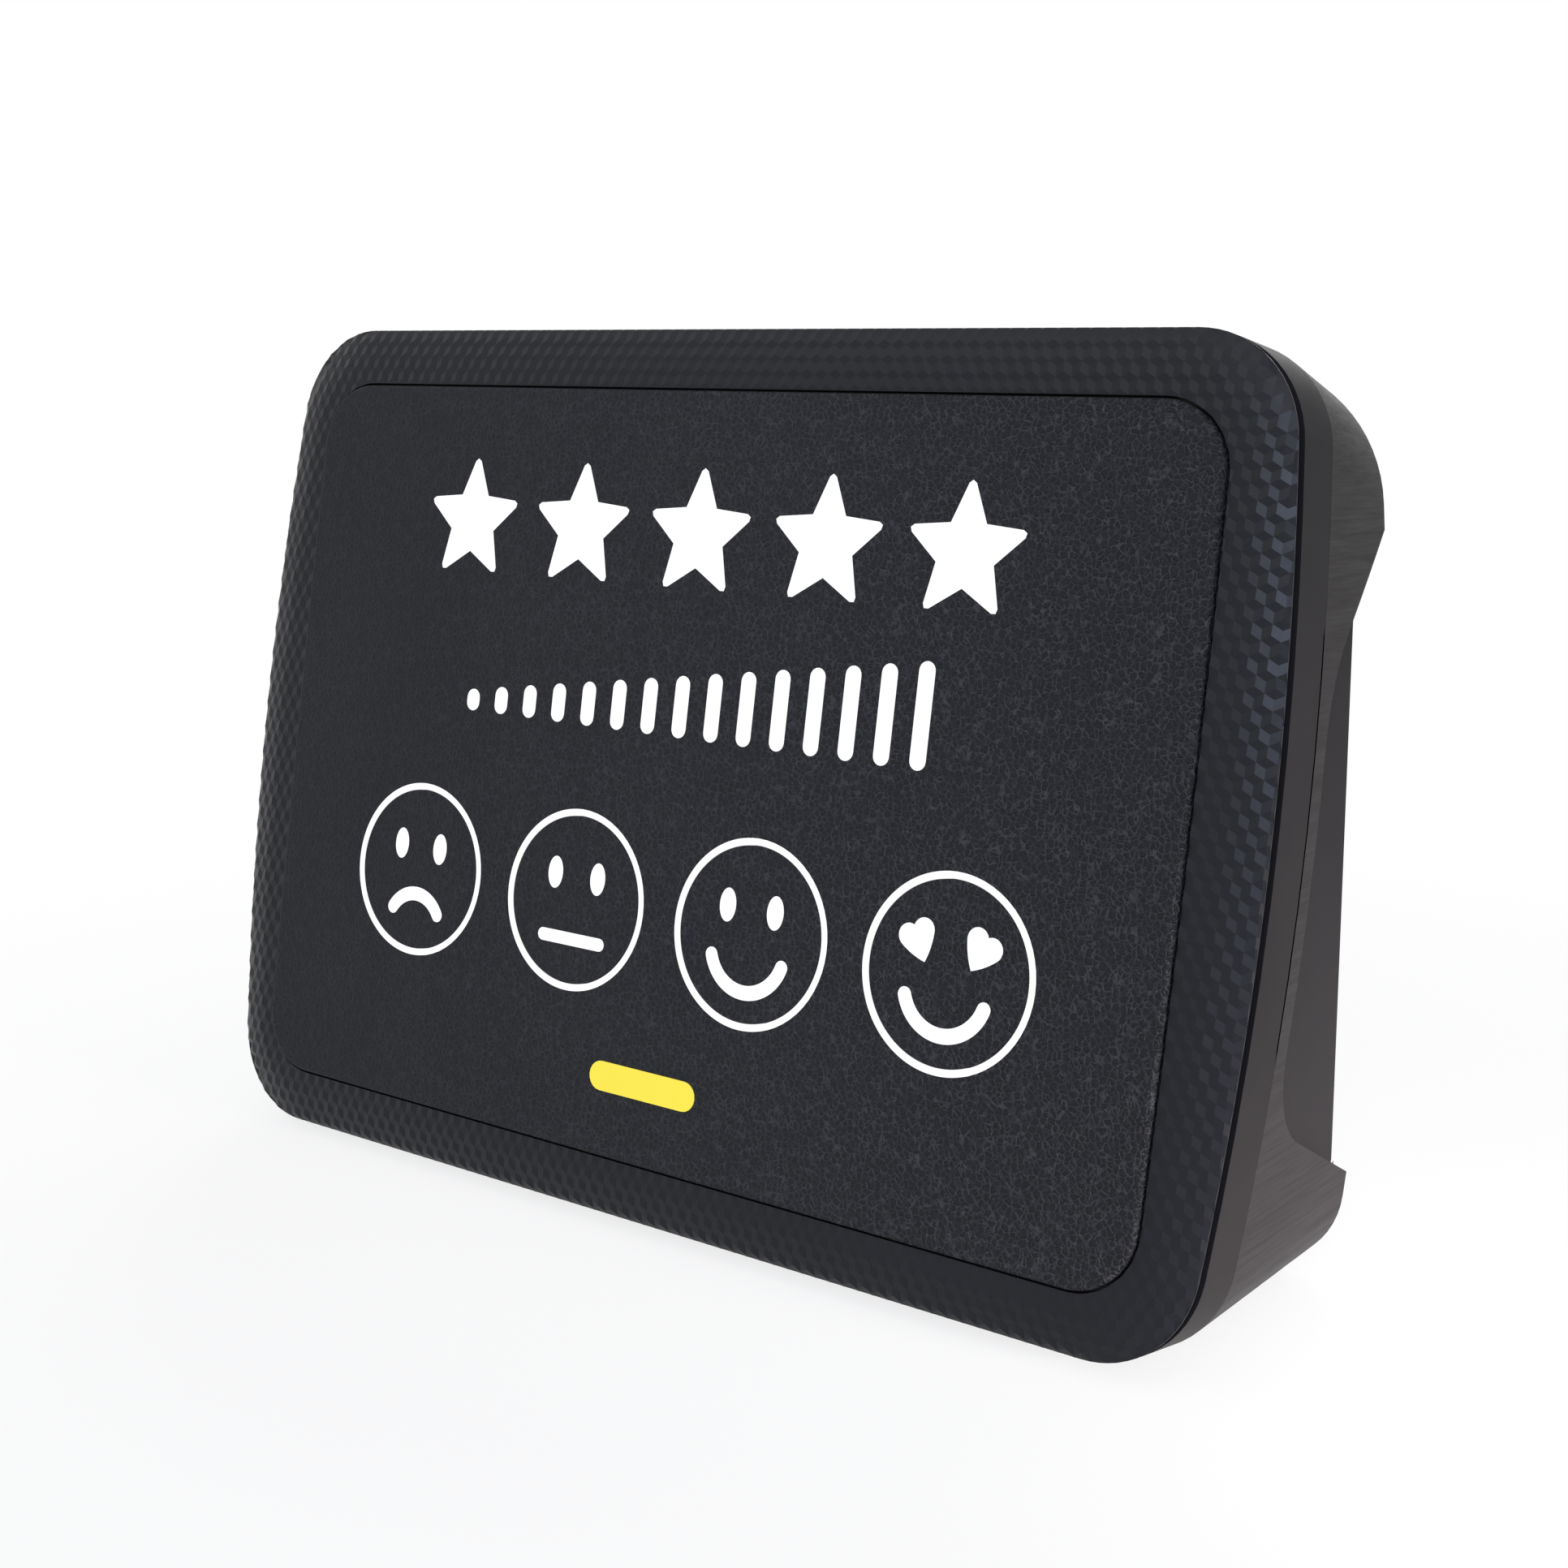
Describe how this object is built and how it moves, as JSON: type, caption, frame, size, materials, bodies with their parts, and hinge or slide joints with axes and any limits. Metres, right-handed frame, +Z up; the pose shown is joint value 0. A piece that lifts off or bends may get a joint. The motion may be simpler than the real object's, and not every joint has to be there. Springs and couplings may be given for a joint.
{
  "type": "customer feedback button terminal",
  "caption": "Wedge-shaped counter and wall terminal with lit round face keys for rating a service, a faceted bezel and scooped sides.",
  "frame": {"origin": "middle of the bounding box at the level of the feet", "axes": "+Z up, front faces -Y, +X to the viewer's right when facing the front"},
  "size_m": [0.2204, 0.0604, 0.156],
  "materials": {
    "leather_grain": "fine leather grain, satin",
    "facet_bezel": "moulded cube relief, satin",
    "satin_black": "smooth satin",
    "brushed_shell": "moulded hairline, satin",
    "fine_black": "fine spark texture",
    "soft_black": "matt",
    "lit_white": "milky light guide",
    "white_plastic": "matt",
    "board_green": "solder mask",
    "board_parts": "moulded component",
    "plated_steel": "zinc plated",
    "black_steel": "blackened",
    "silver_can": "pressed can"
  },
  "bodies": {
    "housing": {"back_cover": "fine_black", "bezel": "facet_bezel", "board_lamps": "lit_white", "board_screws": "plated_steel", "buzzer": "board_parts", "capacitors": "silver_can", "cell_holder": "board_parts", "clock_cell": "plated_steel", "cover_screws": "black_steel", "diffuser_sheet": "white_plastic", "flange_screws": "plated_steel", "frame_flange": "satin_black", "front_panel": "leather_grain", "groove_seal": "soft_black", "light_baffle": "white_plastic", "light_board": "board_green", "light_ring_fair": "lit_white", "light_ring_good": "lit_white", "light_ring_great": "lit_white", "light_ring_poor": "lit_white", "main_board": "board_green", "middle_frame": "satin_black", "power_inlet": "board_parts", "processor": "board_parts", "radio_module": "silver_can", "rear_shell": "brushed_shell", "ribbon": "white_plastic", "ribbon_sockets": "white_plastic", "rocker_housing": "satin_black", "rubber_feet": "soft_black", "shell_bosses": "brushed_shell", "shell_flange": "brushed_shell", "switch_bodies": "board_parts"},
    "key_poor": {"key_cap_poor": "leather_grain", "key_core_poor": "white_plastic", "switch_stem_poor": "board_parts"},
    "key_fair": {"key_cap_fair": "leather_grain", "key_core_fair": "white_plastic", "switch_stem_fair": "board_parts"},
    "key_good": {"key_cap_good": "leather_grain", "key_core_good": "white_plastic", "switch_stem_good": "board_parts"},
    "key_great": {"key_cap_great": "leather_grain", "key_core_great": "white_plastic", "switch_stem_great": "board_parts"},
    "rocker": {"power_rocker": "satin_black"}
  },
  "joints": [
    {"name": "press_poor", "type": "slide", "parent": "housing", "child": "key_poor", "axis": [0, 0.9816, -0.1908], "range_m": [0, 0.0008], "stiffness_N_per_m": 1500, "springref_m": -0.0003},
    {"name": "press_fair", "type": "slide", "parent": "housing", "child": "key_fair", "axis": [0, 0.9816, -0.1908], "range_m": [0, 0.0008], "stiffness_N_per_m": 1500, "springref_m": -0.0003},
    {"name": "press_good", "type": "slide", "parent": "housing", "child": "key_good", "axis": [0, 0.9816, -0.1908], "range_m": [0, 0.0008], "stiffness_N_per_m": 1500, "springref_m": -0.0003},
    {"name": "press_great", "type": "slide", "parent": "housing", "child": "key_great", "axis": [0, 0.9816, -0.1908], "range_m": [0, 0.0008], "stiffness_N_per_m": 1500, "springref_m": -0.0003},
    {"name": "rocker_tilt", "type": "hinge", "parent": "housing", "child": "rocker", "pos_m": [0.058, 0.02519, 0.0227], "axis": [0, 0, 1], "range_deg": [-20, 0]}
  ]
}
